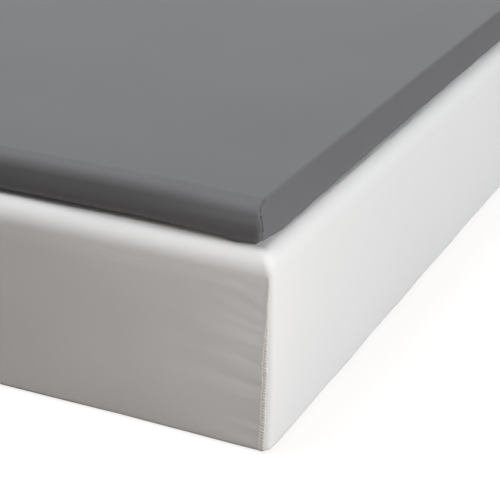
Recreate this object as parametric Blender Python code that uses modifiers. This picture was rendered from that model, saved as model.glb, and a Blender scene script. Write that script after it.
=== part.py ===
"""Pressure relief mattress: a covered foam base with a loose viscoelastic overlay lying on it.

Metres, +Z up. The origin is the middle of the underside, +Y runs to the head end.
Run it with: blender --background --python part.py
"""

import math

import bmesh
import bpy
from mathutils import Matrix, Vector

# Driving dimensions
WIDTH = 0.900
LENGTH = 2.000
BASE_HEIGHT = 0.230
OVERLAY_HEIGHT = 0.050
OVERLAY_INSET = 0.022
CLEARANCE = 0.0003

# Covers
BASE_FABRIC = 0.0015
OVERLAY_FABRIC = 0.0012
BASE_PANEL = 0.0020
OVERLAY_PANEL = 0.0015
BASE_CORNER_RADIUS = 0.016
BASE_TOP_RADIUS = 0.027
OVERLAY_CORNER_RADIUS = 0.008
OVERLAY_TOP_RADIUS = 0.012
CORNER_SOFTENING = 0.5
PANEL_INSET = 0.0010
CORNER_SEGMENTS = 6
EDGE_SEGMENTS = 5

# Corner seams of the base cover
SEAM_WIDTH = 0.006
SEAM_THICKNESS = 0.0012
SEAM_TURN = math.radians(30)
SEAM_FOOT = 0.006
SEAM_HEAD = BASE_HEIGHT - BASE_TOP_RADIUS

# Foam of the base
BOLSTER_WIDTH = 0.090
SUPPORT_HEIGHT = 0.100
TRANSITION_HEIGHT = 0.058
BARRIER_THICKNESS = 0.0012
BARRIER_INSET = 0.040
CASTLE_CELLS = (8, 18)
CASTLE_DEPTH = 0.040
CASTLE_SLOT = 0.004
BED_HINGES = (-0.42, -0.34, 0.04, 0.12, 0.20)
BED_HINGE_SLOT = 0.006
BED_HINGE_DEPTH = 0.045

# Foam of the overlay, split across its length at these places
HEEL_END = -0.450
TORSO_END = 0.500
OVERLAY_CELLS = (10, 11)
OVERLAY_CELL_DEPTH = 0.022
OVERLAY_SLOT = 0.003
HEEL_SLOTS = 7

# Zips, one across the head end of each cover
ZIP_HALF_LENGTH = 0.402
ZIP_HALF_HEIGHT = 0.0125
ZIP_END = 0.0075
BASE_ZIP_HEIGHT = 0.045
OVERLAY_ZIP_HEIGHT = 0.0165
TEETH_HALF_GAP = 0.0007
TEETH_HEIGHT = 0.0025
TEETH_DEPTH = 0.0024
TAPE_THICKNESS = 0.0008
TAPE_SETBACK = 0.0008
GROOVE_DEPTH = 0.0065
STOP_LENGTH = 0.0037

# Zip sliders and pulls
SLIDER_PARK = 0.385
SLIDER_HALF_LENGTH = 0.007
SLIDER_HALF_HEIGHT = 0.0048
SLIDER_PLATE = 0.0012
SLIDER_WEB = 0.0008
SLIDER_WEB_HALF_LENGTH = 0.0056
SLIDER_JOIN = 0.0004
BRIDGE_HALF_LENGTH = 0.0048
BRIDGE_HEIGHT = 0.0034
BRIDGE_LEG = 0.0013
BRIDGE_WIDTH = 0.0020
PULL_LENGTH = 0.024
PULL_HALF_HEIGHT = 0.0030
PULL_THICKNESS = 0.0010
PULL_AXIS_OUT = 0.0027
PULL_WINDOW = (0.0005, 0.0062, 0.0016)

parts = bpy.data.collections.new("pressure_relief_mattress")
cutters = bpy.data.collections.new("cutters")


def clear_scene():
    for obj in list(bpy.data.objects):
        bpy.data.objects.remove(obj)
    for collection in (parts, cutters):
        bpy.context.scene.collection.children.link(collection)


def material(name, colour, roughness, metallic=0.0):
    mat = bpy.data.materials.new(name)
    mat.use_nodes = True
    shader = mat.node_tree.nodes["Principled BSDF"]
    shader.inputs["Base Color"].default_value = (*colour, 1.0)
    shader.inputs["Roughness"].default_value = roughness
    shader.inputs["Metallic"].default_value = metallic
    return mat


def add_object(name, data, mat=None):
    """An object in the parts collection, or a hidden cutter if it has no material."""
    obj = bpy.data.objects.new(name, data)
    if mat is None:
        cutters.objects.link(obj)
        obj.hide_render = True
        obj.display_type = "WIRE"
        return obj
    parts.objects.link(obj)
    data.materials.append(mat)
    return obj


def mesh_from(name, bm):
    mesh = bpy.data.meshes.new(name)
    bm.to_mesh(mesh)
    bm.free()
    return mesh


def add_cube(bm, low, high):
    low, high = Vector(low), Vector(high)
    place = Matrix.Translation((low + high) / 2) @ Matrix.Diagonal((*(high - low), 1.0))
    bmesh.ops.create_cube(bm, size=1.0, matrix=place)


def box(name, low, high, mat=None):
    bm = bmesh.new()
    add_cube(bm, low, high)
    return add_object(name, mesh_from(name, bm), mat)


def box_row(name, boxes):
    """One cutter made of separate boxes, each given by its low and high corner."""
    bm = bmesh.new()
    for low, high in boxes:
        add_cube(bm, low, high)
    return add_object(name, mesh_from(name, bm))


def rounded_ring(bm, low, high, z, radius):
    """Vertices round a rectangle with round corners, at height z."""
    ring = []
    for quarter, (sign_x, sign_y) in enumerate(((1, 1), (-1, 1), (-1, -1), (1, -1))):
        centre_x = (high[0] if sign_x > 0 else low[0]) - sign_x * radius
        centre_y = (high[1] if sign_y > 0 else low[1]) - sign_y * radius
        for step in range(CORNER_SEGMENTS + 1):
            angle = math.pi / 2 * (quarter + step / CORNER_SEGMENTS)
            x = centre_x + radius * math.cos(angle)
            y = centre_y + radius * math.sin(angle)
            ring.append(bm.verts.new((x, y, z)))
    return ring


def cushion_mesh(name, low, high, corner_radius, top_radius, open_below=False):
    """A box with round corners and round top edges, lofted because its corners soften upwards."""
    levels = [(low[2], 0.0)]
    if top_radius:
        for step in range(EDGE_SEGMENTS + 1):
            angle = math.pi / 2 * step / EDGE_SEGMENTS
            drop, inset = 1 - math.sin(angle), 1 - math.cos(angle)
            levels.append((high[2] - top_radius * drop, top_radius * inset))
    else:
        levels.append((high[2], 0.0))

    bm = bmesh.new()
    rings = []
    for z, inset in levels:
        inner_low = (low[0] + inset, low[1] + inset)
        inner_high = (high[0] - inset, high[1] - inset)
        radius = corner_radius + CORNER_SOFTENING * inset
        rings.append(rounded_ring(bm, inner_low, inner_high, z, radius))
    count = len(rings[0])
    for below, above in zip(rings, rings[1:]):
        for k in range(count):
            n = (k + 1) % count
            bm.faces.new((below[k], below[n], above[n], above[k]))
    bm.faces.new(rings[-1])
    if not open_below:
        bm.faces.new(list(reversed(rings[0])))
    mesh = mesh_from(name, bm)
    mesh.shade_smooth()
    mesh.set_sharp_from_angle(angle=math.radians(35))
    return mesh


def boolean(obj, other, operation):
    modifier = obj.modifiers.new(f"{operation.lower()}_{other.name}", "BOOLEAN")
    modifier.operation = operation
    modifier.object = other
    return obj


def solidify(obj, thickness, offset=-1.0):
    modifier = obj.modifiers.new("cloth", "SOLIDIFY")
    modifier.thickness = thickness
    modifier.offset = offset
    modifier.use_even_offset = True


def zip_opening(name, face_y, centre_z, depth, margin=0.0):
    """The box that a zip needs through a wall or into the foam behind it."""
    half = ZIP_HALF_LENGTH + margin
    height = ZIP_HALF_HEIGHT + margin
    low = (-half, face_y - depth, centre_z - height)
    high = (half, face_y + depth, centre_z + height)
    return box(name, low, high)


# Base


def base_cover(white, dark_grey, binding):
    half_x, half_y = WIDTH / 2, LENGTH / 2
    rim = BASE_PANEL + CLEARANCE
    shell = cushion_mesh(
        "base_cover_upper",
        (-half_x, -half_y, rim),
        (half_x, half_y, BASE_HEIGHT),
        BASE_CORNER_RADIUS,
        BASE_TOP_RADIUS,
        open_below=True,
    )
    upper = add_object("base_cover_upper", shell, white)
    solidify(upper, BASE_FABRIC)
    boolean(upper, zip_opening("base_zip_window", half_y, BASE_ZIP_HEIGHT, 0.010), "DIFFERENCE")

    inset = PANEL_INSET
    panel = cushion_mesh(
        "base_cover_lower",
        (-half_x + inset, -half_y + inset, 0.0),
        (half_x - inset, half_y - inset, BASE_PANEL),
        BASE_CORNER_RADIUS - inset,
        0.0,
    )
    add_object("base_cover_lower", panel, dark_grey)

    for end, side_y in (("foot", -1), ("head", 1)):
        for side, side_x in (("left", -1), ("right", 1)):
            corner_seam(f"base_seam_{end}_{side}", side_x, side_y, binding)


def corner_seam(name, side_x, side_y, mat):
    """The overlocked seam allowance at one corner of the white cover, folded to the end face."""
    seam = box(
        name,
        (-SEAM_WIDTH / 2, -SEAM_THICKNESS / 2, 0),
        (SEAM_WIDTH / 2, SEAM_THICKNESS / 2, SEAM_HEAD - SEAM_FOOT),
        mat,
    )
    reach = BASE_CORNER_RADIUS + CLEARANCE + SEAM_THICKNESS / 2
    centre_x = side_x * (WIDTH / 2 - BASE_CORNER_RADIUS)
    centre_y = side_y * (LENGTH / 2 - BASE_CORNER_RADIUS)
    out_x, out_y = side_x * reach * math.sin(SEAM_TURN), side_y * reach * math.cos(SEAM_TURN)
    seam.location = (centre_x + out_x, centre_y + out_y, SEAM_FOOT)
    seam.rotation_euler = (0, 0, -side_x * side_y * SEAM_TURN)


def base_foam(firm_foam, support_foam, soft_foam, barrier):
    skin = BASE_FABRIC + CLEARANCE
    floor = BASE_PANEL + CLEARANCE
    foam_top = BASE_HEIGHT - skin - BARRIER_THICKNESS - CLEARANCE
    outer_x, outer_y = WIDTH / 2 - skin, LENGTH / 2 - skin
    inner_x, inner_y = outer_x - BOLSTER_WIDTH, outer_y - BOLSTER_WIDTH
    beyond = 0.020
    envelope = add_object(
        "base_foam_envelope",
        cushion_mesh(
            "base_foam_envelope",
            (-outer_x, -outer_y, floor),
            (outer_x, outer_y, foam_top),
            BASE_CORNER_RADIUS - skin,
            BASE_TOP_RADIUS - skin,
        ),
    )
    groove = zip_opening("base_zip_groove", LENGTH / 2, BASE_ZIP_HEIGHT, GROOVE_DEPTH, 0.001)
    tall = (floor - beyond, foam_top + beyond)
    for side, sign in (("left", -1), ("right", 1)):
        xs = sorted((sign * inner_x, sign * (outer_x + beyond)))
        name = f"side_bolster_{side}"
        far_y = outer_y + beyond
        bolster = box(name, (xs[0], -far_y, tall[0]), (xs[1], far_y, tall[1]), firm_foam)
        boolean(bolster, envelope, "INTERSECT")
        boolean(bolster, groove, "DIFFERENCE")
    end_x = inner_x - CLEARANCE
    for end, sign in (("foot", -1), ("head", 1)):
        ys = sorted((sign * inner_y, sign * (outer_y + beyond)))
        name = f"end_bolster_{end}"
        bolster = box(name, (-end_x, ys[0], tall[0]), (end_x, ys[1], tall[1]), firm_foam)
        boolean(bolster, envelope, "INTERSECT")
        if end == "head":
            boolean(bolster, groove, "DIFFERENCE")

    core_x, core_y = end_x, inner_y - CLEARANCE
    support_top = floor + SUPPORT_HEIGHT
    transition_top = support_top + TRANSITION_HEIGHT
    support = box(
        "core_support_foam",
        (-core_x, -core_y, floor),
        (core_x, core_y, support_top),
        support_foam,
    )
    boolean(support, bed_hinge_slots(core_x, floor), "DIFFERENCE")
    box(
        "core_transition_foam",
        (-core_x, -core_y, support_top + CLEARANCE),
        (core_x, core_y, transition_top),
        firm_foam,
    )
    comfort = box(
        "core_comfort_foam",
        (-core_x, -core_y, transition_top + CLEARANCE),
        (core_x, core_y, foam_top),
        soft_foam,
    )
    low, high = (-core_x, -core_y), (core_x, core_y)
    castellate(comfort, low, high, foam_top, CASTLE_CELLS, CASTLE_SLOT, CASTLE_DEPTH)

    sheet_x, sheet_y = WIDTH / 2 - BARRIER_INSET, LENGTH / 2 - BARRIER_INSET
    box(
        "fire_barrier_sheet",
        (-sheet_x, -sheet_y, foam_top + CLEARANCE),
        (sheet_x, sheet_y, foam_top + CLEARANCE + BARRIER_THICKNESS),
        barrier,
    )


def bed_hinge_slots(half_x, floor):
    """Cuts across the underside, which let the foam follow a profiling bed."""
    over = 0.010
    half, top = BED_HINGE_SLOT / 2, floor + BED_HINGE_DEPTH
    slots = []
    for y in BED_HINGES:
        slots.append(((-half_x - over, y - half, floor - over), (half_x + over, y + half, top)))
    return box_row("bed_hinge_slots", slots)


def castellate(foam, low, high, top, cells, slot, depth):
    """Cuts crossing slots into the top of a foam block, so that its cells move on their own."""
    over, half = 0.010, slot / 2
    bottom, above = top - depth, top + over
    size = [(high[i] - low[i]) / cells[i] for i in (0, 1)]
    along, across = [], []
    for k in range(1, cells[0]):
        x = low[0] + k * size[0]
        along.append(((x - half, low[1] - over, bottom), (x + half, high[1] + over, above)))
    for k in range(1, cells[1]):
        y = low[1] + k * size[1]
        across.append(((low[0] - over, y - half, bottom), (high[0] + over, y + half, above)))
    boolean(foam, box_row(f"{foam.name}_slots_along", along), "DIFFERENCE")
    if across:
        boolean(foam, box_row(f"{foam.name}_slots_across", across), "DIFFERENCE")


# Overlay


def overlay_box():
    """The half width, half length, underside and top of the overlay."""
    floor = BASE_HEIGHT + CLEARANCE
    return WIDTH / 2 - OVERLAY_INSET, LENGTH / 2 - OVERLAY_INSET, floor, floor + OVERLAY_HEIGHT


def overlay_cover(grey, dark_grey):
    half_x, half_y, floor, top = overlay_box()
    rim = floor + OVERLAY_PANEL + CLEARANCE
    shell = cushion_mesh(
        "overlay_cover_top",
        (-half_x, -half_y, rim),
        (half_x, half_y, top),
        OVERLAY_CORNER_RADIUS,
        OVERLAY_TOP_RADIUS,
        open_below=True,
    )
    cover = add_object("overlay_cover_top", shell, grey)
    solidify(cover, OVERLAY_FABRIC)
    window = zip_opening("overlay_zip_window", half_y, floor + OVERLAY_ZIP_HEIGHT, 0.010)
    boolean(cover, window, "DIFFERENCE")

    inset = PANEL_INSET
    panel = cushion_mesh(
        "overlay_cover_base",
        (-half_x + inset, -half_y + inset, floor),
        (half_x - inset, half_y - inset, floor + OVERLAY_PANEL),
        OVERLAY_CORNER_RADIUS - inset,
        0.0,
    )
    add_object("overlay_cover_base", panel, dark_grey)


def overlay_foam(visco, soft_visco):
    """Three zones side by side: head, castellated torso, and a softer slotted heel zone."""
    half_x, half_y, floor, top = overlay_box()
    skin = OVERLAY_FABRIC + CLEARANCE
    low_z, high_z = floor + OVERLAY_PANEL + CLEARANCE, top - skin
    outer_x, outer_y = half_x - skin, half_y - skin
    beyond = 0.020
    envelope = add_object(
        "overlay_foam_envelope",
        cushion_mesh(
            "overlay_foam_envelope",
            (-outer_x, -outer_y, low_z),
            (outer_x, outer_y, high_z),
            OVERLAY_CORNER_RADIUS - skin,
            OVERLAY_TOP_RADIUS - skin,
        ),
    )
    zones = (
        ("overlay_foam_heel", -outer_y - beyond, HEEL_END, soft_visco),
        ("overlay_foam_torso", HEEL_END + CLEARANCE, TORSO_END, visco),
        ("overlay_foam_head", TORSO_END + CLEARANCE, outer_y + beyond, visco),
    )
    foam = {}
    for name, start, end, mat in zones:
        low = (-outer_x - beyond, start, low_z - beyond)
        high = (outer_x + beyond, end, high_z + beyond)
        foam[name] = boolean(box(name, low, high, mat), envelope, "INTERSECT")

    castellate(
        foam["overlay_foam_torso"],
        (-outer_x, HEEL_END),
        (outer_x, TORSO_END),
        high_z,
        OVERLAY_CELLS,
        OVERLAY_SLOT,
        OVERLAY_CELL_DEPTH,
    )
    pitch = (outer_y + HEEL_END) / (HEEL_SLOTS + 1)
    half, over = OVERLAY_SLOT / 2, 0.010
    slots = [
        (
            (-outer_x - over, y - half, high_z - OVERLAY_CELL_DEPTH),
            (outer_x + over, y + half, high_z + over),
        )
        for y in (-outer_y + pitch * k for k in range(1, HEEL_SLOTS + 1))
    ]
    boolean(foam["overlay_foam_heel"], box_row("heel_slots", slots), "DIFFERENCE")
    groove = zip_opening(
        "overlay_zip_groove", half_y, floor + OVERLAY_ZIP_HEIGHT, GROOVE_DEPTH, 0.001
    )
    boolean(foam["overlay_foam_head"], groove, "DIFFERENCE")


# Zips


def add_zip(owner, face_y, centre_z, tape_mat, teeth_mat, metal):
    """A straight zip across the head end: tapes, rows of teeth, stops, slider and pull."""
    tape_x = ZIP_HALF_LENGTH - CLEARANCE
    teeth_x = ZIP_HALF_LENGTH - ZIP_END
    tape_y = (face_y - TAPE_SETBACK - TAPE_THICKNESS, face_y - TAPE_SETBACK)
    teeth_y = (face_y - TEETH_DEPTH, face_y)
    teeth_top = TEETH_HALF_GAP + TEETH_HEIGHT
    for row, sign in (("upper", 1), ("lower", -1)):
        inner, outer = sorted(
            centre_z + sign * z for z in (teeth_top + CLEARANCE, ZIP_HALF_HEIGHT - CLEARANCE)
        )
        low, high = (-tape_x, tape_y[0], inner), (tape_x, tape_y[1], outer)
        box(f"{owner}_zip_tape_{row}", low, high, tape_mat)
        inner, outer = sorted(centre_z + sign * z for z in (TEETH_HALF_GAP, teeth_top))
        low, high = (-teeth_x, teeth_y[0], inner), (teeth_x, teeth_y[1], outer)
        box(f"{owner}_zip_teeth_{row}", low, high, teeth_mat)
    for stop, sign in (("top", 1), ("bottom", -1)):
        start = teeth_x + CLEARANCE
        xs = sorted((sign * start, sign * (start + STOP_LENGTH)))
        box(
            f"{owner}_zip_{stop}_stop",
            (xs[0], teeth_y[0], centre_z - teeth_top),
            (xs[1], teeth_y[1] + CLEARANCE, centre_z + teeth_top),
            metal,
        )
    place = Vector((SLIDER_PARK, face_y, centre_z))
    zip_slider(f"{owner}_zip_slider", place, metal)
    zip_pull(f"{owner}_zip_pull", place, metal)


def zip_slider(name, place, metal):
    """Two plates round the teeth, joined by a web between the rows, with a bridge for the pull."""
    length, height = SLIDER_HALF_LENGTH, SLIDER_HALF_HEIGHT
    front_in = CLEARANCE
    front_out = front_in + SLIDER_PLATE
    back_out = -TEETH_DEPTH - CLEARANCE
    back_in = back_out - SLIDER_PLATE
    join, web, web_x = SLIDER_JOIN, SLIDER_WEB / 2, SLIDER_WEB_HALF_LENGTH
    flange_in = -TAPE_SETBACK + CLEARANCE
    flange_z = TEETH_HALF_GAP + TEETH_HEIGHT + join
    pieces = [
        ((-length, back_in, -height), (length, back_out, height)),
        ((-web_x, back_out - join, -web), (web_x, front_in + join, web)),
        ((-length, flange_in, flange_z), (length, front_in + join, height)),
        ((-length, flange_in, -height), (length, front_in + join, -flange_z)),
    ]
    slider = box(name, (-length, front_in, -height), (length, front_out, height), metal)
    slider.location = place
    for number, (low, high) in enumerate(pieces):
        piece = box(f"{name}_piece_{number}", low, high)
        piece.location = place
        boolean(slider, piece, "UNION")

    bridge_x, bridge_z = BRIDGE_HALF_LENGTH, BRIDGE_WIDTH / 2
    bridge = box(
        f"{name}_bridge",
        (-bridge_x, front_out - join, -bridge_z),
        (bridge_x, front_out + BRIDGE_HEIGHT, bridge_z),
    )
    bridge.location = place
    opening_x = bridge_x - BRIDGE_LEG
    opening_top = front_out + BRIDGE_HEIGHT - PULL_THICKNESS * 1.2
    opening = box(
        f"{name}_bridge_opening",
        (-opening_x, front_out, -2 * bridge_z),
        (opening_x, opening_top, 2 * bridge_z),
    )
    opening.location = place
    boolean(slider, boolean(bridge, opening, "DIFFERENCE"), "UNION")


def zip_pull(name, place, metal):
    """A flat tab with a window that the slider's bridge passes through, hinged at its origin."""
    curve = bpy.data.curves.new(name, "CURVE")
    curve.dimensions = "2D"
    curve.fill_mode = "BOTH"
    curve.extrude = PULL_THICKNESS / 2
    half, bar = PULL_HALF_HEIGHT, PULL_WINDOW[0]
    nose = PULL_LENGTH - half
    outline = [(bar, -half), (bar, half)]
    steps = 8
    for k in range(steps + 1):
        angle = math.pi / 2 + math.pi * k / steps
        outline.append((-nose + half * math.cos(angle), half * math.sin(angle)))
    start, end, side = PULL_WINDOW
    window = [(-start, -side), (-end, -side), (-end, side), (-start, side)]
    for points in (outline, window):
        spline = curve.splines.new("POLY")
        spline.points.add(len(points) - 1)
        for point, (x, y) in zip(spline.points, points):
            point.co = (x, y, 0, 1)
        spline.use_cyclic_u = True
    pull = add_object(name, curve, metal)
    pull.rotation_euler = (math.radians(90), 0, 0)
    pull.location = place + Vector((0, PULL_AXIS_OUT, 0))


def build():
    clear_scene()
    white = material("white_cover", (0.80, 0.80, 0.79), 0.70)
    grey = material("grey_cover", (0.21, 0.21, 0.22), 0.60)
    dark_grey = material("anti_slip_panel", (0.045, 0.045, 0.05), 0.85)
    binding = material("seam_binding", (0.84, 0.83, 0.80), 0.75)
    firm_foam = material("firm_foam", (0.70, 0.72, 0.66), 0.95)
    support_foam = material("support_foam", (0.36, 0.50, 0.62), 0.95)
    soft_foam = material("comfort_foam", (0.80, 0.74, 0.56), 0.95)
    barrier = material("fire_barrier", (0.75, 0.73, 0.68), 0.90)
    visco = material("visco_foam", (0.82, 0.79, 0.68), 0.90)
    soft_visco = material("heel_foam", (0.62, 0.70, 0.74), 0.90)
    white_zip = material("white_zip", (0.72, 0.72, 0.71), 0.70)
    grey_zip = material("grey_zip", (0.10, 0.10, 0.11), 0.70)
    teeth = material("zip_teeth", (0.30, 0.30, 0.31), 0.45)
    metal = material("zip_metal", (0.62, 0.62, 0.63), 0.35, 1.0)

    base_cover(white, dark_grey, binding)
    base_foam(firm_foam, support_foam, soft_foam, barrier)
    add_zip("base", LENGTH / 2, BASE_ZIP_HEIGHT, white_zip, teeth, metal)

    overlay_cover(grey, dark_grey)
    overlay_foam(visco, soft_visco)
    _, overlay_end, overlay_floor, _ = overlay_box()
    add_zip("overlay", overlay_end, overlay_floor + OVERLAY_ZIP_HEIGHT, grey_zip, teeth, metal)


build()
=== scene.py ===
"""The looks of the pressure relief mattress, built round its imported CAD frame.

Everything is in metres in the CAD frame: +Z up, +Y towards the head end, z = 0 on the floor.
"""

import math

import bmesh
import bpy
import numpy as np
from mathutils import Matrix, Vector
from mathutils.bvhtree import BVHTree


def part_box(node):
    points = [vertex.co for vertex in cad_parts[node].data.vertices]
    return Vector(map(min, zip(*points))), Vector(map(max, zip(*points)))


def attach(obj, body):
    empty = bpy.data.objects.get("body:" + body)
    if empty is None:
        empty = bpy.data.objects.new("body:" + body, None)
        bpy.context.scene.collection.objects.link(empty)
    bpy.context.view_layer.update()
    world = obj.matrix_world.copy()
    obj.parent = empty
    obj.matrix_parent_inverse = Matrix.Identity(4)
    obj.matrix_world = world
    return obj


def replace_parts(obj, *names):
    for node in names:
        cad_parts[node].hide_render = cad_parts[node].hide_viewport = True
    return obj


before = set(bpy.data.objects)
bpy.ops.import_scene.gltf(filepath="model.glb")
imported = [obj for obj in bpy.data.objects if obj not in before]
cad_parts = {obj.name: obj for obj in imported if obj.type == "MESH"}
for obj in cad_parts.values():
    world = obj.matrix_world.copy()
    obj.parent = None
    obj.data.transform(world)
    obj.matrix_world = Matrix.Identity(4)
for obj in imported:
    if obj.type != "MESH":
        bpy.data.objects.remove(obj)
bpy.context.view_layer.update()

BASE_LOW, BASE_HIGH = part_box("base_cover_upper")
OVERLAY_LOW, OVERLAY_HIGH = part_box("overlay_cover_top")
OVERLAY_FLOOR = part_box("overlay_cover_base")[0].z

# Base cover. Every wave in cloth is (wavelength, seed, height).
BASE_CORNER = 0.008
BASE_EDGE = 0.027
BASE_CORNER_SOFTENING = 0.2
BASE_HEM = 0.0012
BASE_CLOTH = 0.0012
BASE_END_BULGE = 0.0012
BASE_SIDE_BULGE = 0.0026
BASE_WAVES = ((0.34, 3, 0.0011), (0.12, 4, 0.0006))
BASE_TOP_WAVE = (0.25, 5, 0.0003)
BASE_UNDERSIDE_INSET = 0.0035
BASE_UNDERSIDE_CORNER = 0.0055

# Overlay cover
OVERLAY_PULL_IN = 0.0036
OVERLAY_SETTLED = 0.0015
OVERLAY_CRISP_EDGE = 0.0035
OVERLAY_UPRIGHT = 0.0022
OVERLAY_LEAN = 0.0042
OVERLAY_LEAN_AT_FOOT = 0.0020
OVERLAY_ROLL = 0.017
OVERLAY_TUCK = 0.0105
OVERLAY_TUCK_CORNER = 0.012
OVERLAY_SIDE_TUCK = 0.0014
OVERLAY_LIP = 0.012
OVERLAY_CLOTH = 0.0010
OVERLAY_END_BULGE = 0.0042
OVERLAY_SIDE_BULGE = 0.0005
OVERLAY_SEAM_BAND = 0.0085
OVERLAY_SEAM_START = 0.010
OVERLAY_WAVE = (0.40, 33, 0.0004)
OVERLAY_SIDE_WAVE = (0.11, 34, 0.0006)
OVERLAY_UNDERSIDE_CORNER = 0.012

# How far the overlay's top falls towards its ends and sides, over what distance, and its wave
CROWN_AT_END = (0.0012, 0.100)
CROWN_AT_SIDE = (0.0022, 0.110)
CROWN_WAVE = (0.55, 35, 0.0004)

# Marks at the overlay's corners: (height, distance from the corner, width), or the height alone
SINK_ON_END = (0.0026, 0.027, 0.018)
SINK_ON_SIDE = (0.0012, 0.080, 0.040)
POUCH_ON_END = (0.0014, 0.026, 0.008)
POUCH_ON_SIDE = (0.0008, 0.060, 0.030)
SEAM_GROOVE = (0.00070, 0.0, 0.0016)
DOUBLED_CLOTH = 0.00016
FLARE = 0.0045
DRAPE = 0.0006

# Folds of the base cover at its seams
GATHER_HEIGHT = 0.00022
DRAG_LINES = 15
DRAG_HEIGHTS = (0.014, 0.188)
DRAG_RISE = 0.24
DRAG_LENGTH = (0.025, 0.095)
DRAG_WIDTH = (0.0026, 0.0056)
DRAG_SIZE = (0.00018, 0.00048)

# Seams
STITCH_PITCH = 0.0036
SEAM_WIDTH = 0.0052
SEAM_WIDTH_AT_TOP = 0.0018
SEAM_THICKNESS = 0.0011
THREAD = 0.00033

# Zips
TOOTH_PITCH = 0.0026
TOOTH_LENGTH = 0.0015
ZIP_STITCH_MARGIN = {"base": 0.0030, "overlay": 0.0018}
ZIP_EDGES = {"slider": 0.0003, "pull": 0.0002, "top_stop": 0.0003, "bottom_stop": 0.0003}
TAPE_STEPS = (400, 8)
TAPE_WAVE = (0.045, 51, 0.00008)
# The cloth is calmer this near to a zip's opening. The shorter reach is for the overlay's bulges.
ZIP_CALM = 0.020
ZIP_CALM_OVERLAY = 0.008

# Foam: how near a face is to the cover to be drawn in with it, how far, and the gap kept elsewhere
FOAM_BY_COVER = 0.008
FOAM_DRAWN_IN = {"base": 0.0035, "overlay": 0.0055}
FOAM_GAP = 0.0002
FOAM_EDGE = 0.0012
BARRIER_STEPS = (82, 190)
BARRIER_WAVE = (0.09, 51, 0.0006)

# Camera, from the corner of the base that stands nearest to it
CAMERA_OFFSET = Vector((0.5491, -1.3049, 0.8479))
CAMERA_AZIMUTH = math.radians(23.77)
CAMERA_ELEVATION = math.radians(23.37)
CAMERA_ROLL = math.radians(1.65)
CAMERA_LENS = 110.3

# Light: strength, colour, the direction it comes from or its place and target, and its size
KEY = 3.5
KEY_COLOUR = (0.975, 1.0, 1.025)
KEY_TOWARDS = (0.97, 0.15, 0.14)
KEY_ANGLE = 40
OVERHEAD = 3.2
OVERHEAD_COLOUR = (0.985, 1.0, 1.02)
OVERHEAD_TOWARDS = (-0.45, -0.06, 0.9)
OVERHEAD_ANGLE = 42
BACK_PANEL = 112
BACK_PANEL_COLOUR = (1, 1, 1)
BACK_PANEL_AIM = ((-3.4, 6.0, 2.6), (0.0, 0.0, 0.2))
BACK_PANEL_SIZE = (7.0, 3.6)
CORNER_FILL = 1.1
CORNER_FILL_COLOUR = (1.04, 1.0, 0.965)
CORNER_FILL_AIM = ((0.75, -1.5, 0.35), (0.40, -1.0, 0.12))
CORNER_FILL_SIZE = (0.35, 0.35)
AMBIENT = 0.03
AMBIENT_COLOUR = (0.97, 1.0, 1.04, 1)
BACKDROP = 1.15

# Floor: its colour, how bright the camera sees it, half its width and how far it lies below z = 0
FLOOR_COLOUR = (0.235, 0.205, 0.19, 1)
FLOOR_SHOWN = 0.85
FLOOR_REACH = 30.0
FLOOR_DROP = 0.0006


# Numbers and curves


def smoothstep(low, high, value):
    t = np.clip((value - low) / (high - low), 0.0, 1.0)
    return t * t * (3 - 2 * t)


def graded_lines(low, high, zones):
    """Grid lines from low to high, symmetric, with a finer spacing near both ends.

    zones lists (distance from an end, spacing), nearest the end first.
    """
    middle = (low + high) / 2
    lines, at = [low], low
    while at < middle - 1e-9:
        step = next((s for reach, s in zones if at - low < reach - 1e-9), zones[-1][1])
        at += step
        lines.append(min(at, middle))
    mirrored = [low + high - v for v in reversed(lines[:-1])]
    return lines + mirrored


def with_lines(lines, extra, keep_clear=0.0004):
    """The lines with the extra ones put in, and any line too near to one of those left out."""
    kept = [v for v in lines if all(abs(v - e) > keep_clear for e in extra)]
    return sorted(kept + list(extra))


def hump(distance, height, middle, width):
    """A smooth hump of that height and width round the middle."""
    return height * np.exp(-(((distance - middle) / width) ** 2))


def running_length(path):
    """How far along the path each of its points lies."""
    return np.concatenate([[0], np.cumsum(np.linalg.norm(np.diff(path, axis=0), axis=1))])


def at_length(places, length, values):
    """The values of a path's points, read at places along its length."""
    return np.stack([np.interp(places, length, values[:, i]) for i in range(3)], axis=-1)


class Undulation:
    """A smooth random height field in space, made of sine waves drawn from a fixed seed."""

    def __init__(self, wavelength, seed, waves=14):
        rng = np.random.default_rng(seed)
        direction = rng.normal(size=(waves, 3))
        direction /= np.linalg.norm(direction, axis=1)[:, None]
        length = wavelength * rng.uniform(0.7, 1.5, waves)
        self.k = direction * (2 * math.pi / length)[:, None]
        self.phase = rng.uniform(0, 2 * math.pi, waves)
        self.scale = 0.7 / math.sqrt(waves)

    def __call__(self, points):
        """Mostly between -1 and 1."""
        return np.sin(points @ self.k.T + self.phase).sum(1) * self.scale


def waves(points, wavelength, seed, height):
    return Undulation(wavelength, seed)(points) * height


# Meshes


def link(obj):
    bpy.context.scene.collection.objects.link(obj)
    return obj


def mesh_object(name, points, faces, mat, smooth=True):
    mesh = bpy.data.meshes.new(name)
    mesh.from_pydata([tuple(p) for p in points], [], faces)
    mesh.materials.append(mat)
    if smooth:
        mesh.shade_smooth()
    mesh.update()
    return link(bpy.data.objects.new(name, mesh))


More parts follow.
